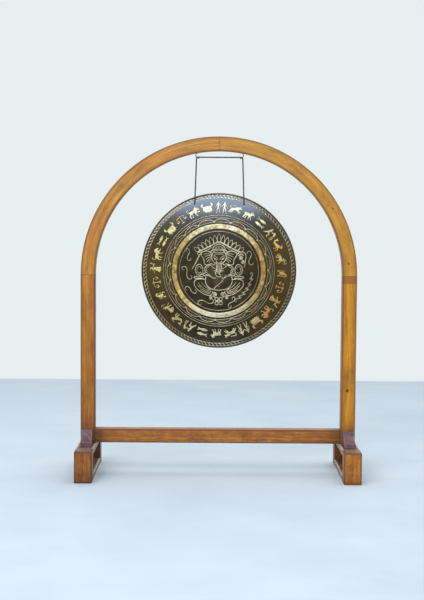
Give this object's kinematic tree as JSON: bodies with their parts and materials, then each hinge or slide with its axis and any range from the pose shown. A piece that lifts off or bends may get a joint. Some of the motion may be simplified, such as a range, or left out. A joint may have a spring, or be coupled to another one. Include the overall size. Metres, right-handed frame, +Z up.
{
  "type": "tam tam gong on stand",
  "caption": "Round bronze gong with etched rings, hung by a bent steel rod from hooks in a round-topped wooden stand on box-shaped feet.",
  "frame": {"origin": "on the floor, under the middle of the stand", "axes": "+Z up, +X to the right across the stand, the gong's decorated face towards -Y"},
  "size_m": [1.073, 0.44, 1.3009],
  "materials": {
    "oiled_wood": "reddish golden brown hardwood, oiled and lightly varnished, straight grain along each member",
    "dark_wood": "the same hardwood stained darker, satin",
    "dowel_wood": "bare beech dowel, hidden in the joints",
    "zinc_steel": "dull plated steel",
    "dark_steel": "dark drawn steel rod",
    "bronze": "blackened bronze with the ornament etched bright and golden"
  },
  "bodies": {
    "stand": {"arch_left": "oiled_wood", "post_left": "oiled_wood", "arch_right": "oiled_wood", "post_right": "oiled_wood", "stretcher_rail": "oiled_wood", "foot_left_front_block": "oiled_wood", "foot_left_rear_block": "oiled_wood", "foot_left_top_board": "oiled_wood", "foot_left_bottom_board": "oiled_wood", "corbel_left_front": "dark_wood", "corbel_left_rear": "dark_wood", "foot_right_front_block": "oiled_wood", "foot_right_rear_block": "oiled_wood", "foot_right_top_board": "oiled_wood", "foot_right_bottom_board": "oiled_wood", "corbel_right_front": "dark_wood", "corbel_right_rear": "dark_wood", "crown_dowel_upper": "dowel_wood", "crown_dowel_lower": "dowel_wood", "springing_dowel_left_front": "dowel_wood", "springing_dowel_left_rear": "dowel_wood", "springing_dowel_right_front": "dowel_wood", "springing_dowel_right_rear": "dowel_wood", "foot_dowel_left_front_top": "dowel_wood", "foot_dowel_left_front_bottom": "dowel_wood", "foot_dowel_left_rear_top": "dowel_wood", "foot_dowel_left_rear_bottom": "dowel_wood", "foot_dowel_right_front_top": "dowel_wood", "foot_dowel_right_front_bottom": "dowel_wood", "foot_dowel_right_rear_top": "dowel_wood", "foot_dowel_right_rear_bottom": "dowel_wood", "post_screw_left_front": "zinc_steel", "post_washer_left_front": "zinc_steel", "corbel_screw_left_front": "zinc_steel", "post_screw_left_rear": "zinc_steel", "post_washer_left_rear": "zinc_steel", "corbel_screw_left_rear": "zinc_steel", "post_screw_right_front": "zinc_steel", "post_washer_right_front": "zinc_steel", "corbel_screw_right_front": "zinc_steel", "post_screw_right_rear": "zinc_steel", "post_washer_right_rear": "zinc_steel", "corbel_screw_right_rear": "zinc_steel", "hook_left": "zinc_steel", "hook_right": "zinc_steel"},
    "hanger": {"hanger_rod": "dark_steel"},
    "gong": {"gong": "bronze"}
  },
  "joints": [
    {"name": "hanger_swing", "type": "hinge", "parent": "stand", "child": "hanger", "pos_m": [0, 0, 1.2227], "axis": [1, 0, 0], "range_deg": [-35, 35]},
    {"name": "gong_swing", "type": "hinge", "parent": "hanger", "child": "gong", "pos_m": [0, 0, 1.0391], "axis": [1, 0, 0], "range_deg": [-12, 10]}
  ]
}
